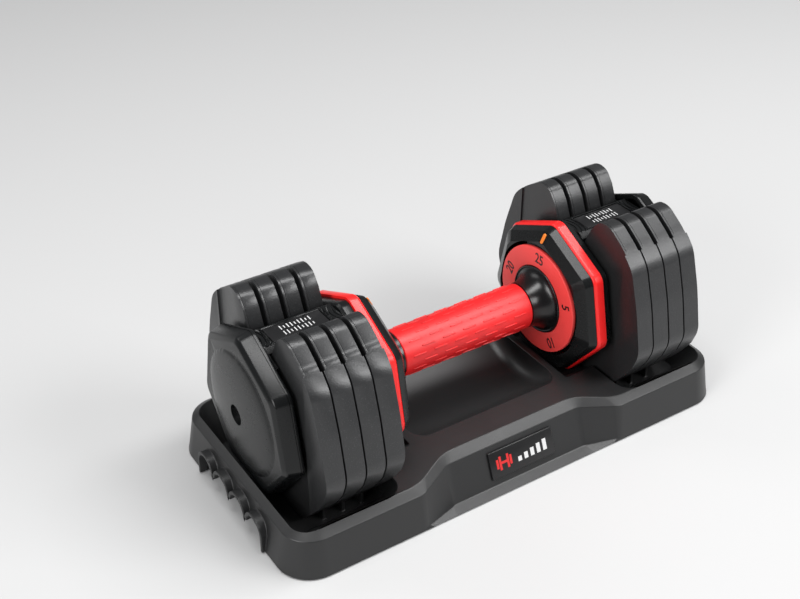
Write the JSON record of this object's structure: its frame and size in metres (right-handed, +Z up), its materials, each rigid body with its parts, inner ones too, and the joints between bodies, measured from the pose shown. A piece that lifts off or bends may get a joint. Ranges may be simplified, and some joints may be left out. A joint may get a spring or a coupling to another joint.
{
  "type": "adjustable dumbbell",
  "caption": "Adjustable dumbbell docked in a moulded tray: a turning red grip with dials picks up slotted plates at each end.",
  "frame": {"origin": "on the floor under the middle of the tray", "axes": "+X along the handle, -Y is the tray's front, +Z up"},
  "size_m": [0.3704, 0.176, 0.1491],
  "materials": {
    "tray_plastic": "fine satin moulding grain",
    "cover_plastic": "satin with fine grain",
    "gloss_plastic": "polished black",
    "red_plastic": "satin red",
    "red_rubber": "soft red with rows of short raised dashes",
    "orange_plastic": "satin orange",
    "plate_coat": "dark grey textured coat",
    "black_rubber": "matt",
    "grey_plastic": "moulded grey",
    "steel": "turned"
  },
  "bodies": {
    "tray": {"tray_shell": "tray_plastic", "tray_end_grip_right": "tray_plastic", "tray_end_grip_left": "tray_plastic", "badge_front": "gloss_plastic", "badge_rear": "gloss_plastic", "foot_front_right": "black_rubber", "foot_rear_right": "black_rubber", "foot_front_left": "black_rubber", "foot_rear_left": "black_rubber", "release_post_right": "grey_plastic", "release_post_left": "grey_plastic"},
    "core": {"front_cover_right": "cover_plastic", "front_cover_left": "cover_plastic", "red_band_right": "red_plastic", "red_band_left": "red_plastic", "back_housing_right": "cover_plastic", "back_housing_left": "cover_plastic", "pointer_right": "orange_plastic", "pointer_left": "orange_plastic", "lock_spring_right": "steel", "lock_spring_left": "steel", "bridge_right": "cover_plastic", "bridge_left": "cover_plastic", "label_panel_right": "grey_plastic", "label_panel_left": "grey_plastic", "end_cap_right": "cover_plastic", "end_cap_left": "cover_plastic", "inner_bush_right": "grey_plastic", "inner_bush_left": "grey_plastic", "end_bush_right": "grey_plastic", "end_bush_left": "grey_plastic"},
    "handle": {"grip_sleeve": "red_rubber", "handle_tube": "steel", "axle": "steel", "collar_right": "gloss_plastic", "collar_left": "gloss_plastic", "dial_ring_right": "red_plastic", "dial_ring_left": "red_plastic", "index_ring_right": "steel", "index_ring_left": "steel", "axle_bolt_right": "steel", "axle_bolt_left": "steel", "selector_disc_right_1": "grey_plastic", "selector_disc_right_2": "grey_plastic", "selector_disc_right_3": "grey_plastic", "selector_disc_right_4": "grey_plastic", "selector_disc_left_1": "grey_plastic", "selector_disc_left_2": "grey_plastic", "selector_disc_left_3": "grey_plastic", "selector_disc_left_4": "grey_plastic"},
    "lock_right": {"lock_slider_right": "grey_plastic"},
    "lock_left": {"lock_slider_left": "grey_plastic"},
    "weight_right_1": {"plate_right_1": "plate_coat"},
    "weight_right_2": {"plate_right_2": "plate_coat"},
    "weight_right_3": {"plate_right_3": "plate_coat"},
    "weight_right_4": {"plate_right_4": "plate_coat"},
    "weight_left_1": {"plate_left_1": "plate_coat"},
    "weight_left_2": {"plate_left_2": "plate_coat"},
    "weight_left_3": {"plate_left_3": "plate_coat"},
    "weight_left_4": {"plate_left_4": "plate_coat"}
  },
  "joints": [
    {"name": "lift_out", "type": "slide", "parent": "tray", "child": "core", "axis": [0, 0, 1], "range_m": [0, 0.18]},
    {"name": "handle_turn", "type": "hinge", "parent": "core", "child": "handle", "pos_m": [0, 0, 0.0787], "axis": [1, 0, 0], "range_deg": [0, 288]},
    {"name": "lock_drop_right", "type": "slide", "parent": "core", "child": "lock_right", "axis": [0, 0, -1], "range_m": [0, 0.0035], "deforming": ["lock_spring_right"]},
    {"name": "lock_drop_left", "type": "slide", "parent": "core", "child": "lock_left", "axis": [0, 0, -1], "range_m": [0, 0.0035], "deforming": ["lock_spring_left"]},
    {"name": "weight_right_1_lift", "type": "slide", "parent": "tray", "child": "weight_right_1", "axis": [0, 0, 1], "range_m": [0, 0.18]},
    {"name": "weight_right_2_lift", "type": "slide", "parent": "tray", "child": "weight_right_2", "axis": [0, 0, 1], "range_m": [0, 0.18]},
    {"name": "weight_right_3_lift", "type": "slide", "parent": "tray", "child": "weight_right_3", "axis": [0, 0, 1], "range_m": [0, 0.18]},
    {"name": "weight_right_4_lift", "type": "slide", "parent": "tray", "child": "weight_right_4", "axis": [0, 0, 1], "range_m": [0, 0.18]},
    {"name": "weight_left_1_lift", "type": "slide", "parent": "tray", "child": "weight_left_1", "axis": [0, 0, 1], "range_m": [0, 0.18]},
    {"name": "weight_left_2_lift", "type": "slide", "parent": "tray", "child": "weight_left_2", "axis": [0, 0, 1], "range_m": [0, 0.18]},
    {"name": "weight_left_3_lift", "type": "slide", "parent": "tray", "child": "weight_left_3", "axis": [0, 0, 1], "range_m": [0, 0.18]},
    {"name": "weight_left_4_lift", "type": "slide", "parent": "tray", "child": "weight_left_4", "axis": [0, 0, 1], "range_m": [0, 0.18]}
  ],
  "couplings": [
    {"joint": "lock_drop_right", "follows": "lift_out", "ratio": 0.019444},
    {"joint": "lock_drop_left", "follows": "lift_out", "ratio": 0.019444},
    {"joint": "weight_right_1_lift", "follows": "lift_out", "ratio": 1},
    {"joint": "weight_right_2_lift", "follows": "lift_out", "ratio": 1},
    {"joint": "weight_right_3_lift", "follows": "lift_out", "ratio": 1},
    {"joint": "weight_right_4_lift", "follows": "lift_out", "ratio": 1},
    {"joint": "weight_left_1_lift", "follows": "lift_out", "ratio": 1},
    {"joint": "weight_left_2_lift", "follows": "lift_out", "ratio": 1},
    {"joint": "weight_left_3_lift", "follows": "lift_out", "ratio": 1},
    {"joint": "weight_left_4_lift", "follows": "lift_out", "ratio": 1}
  ]
}
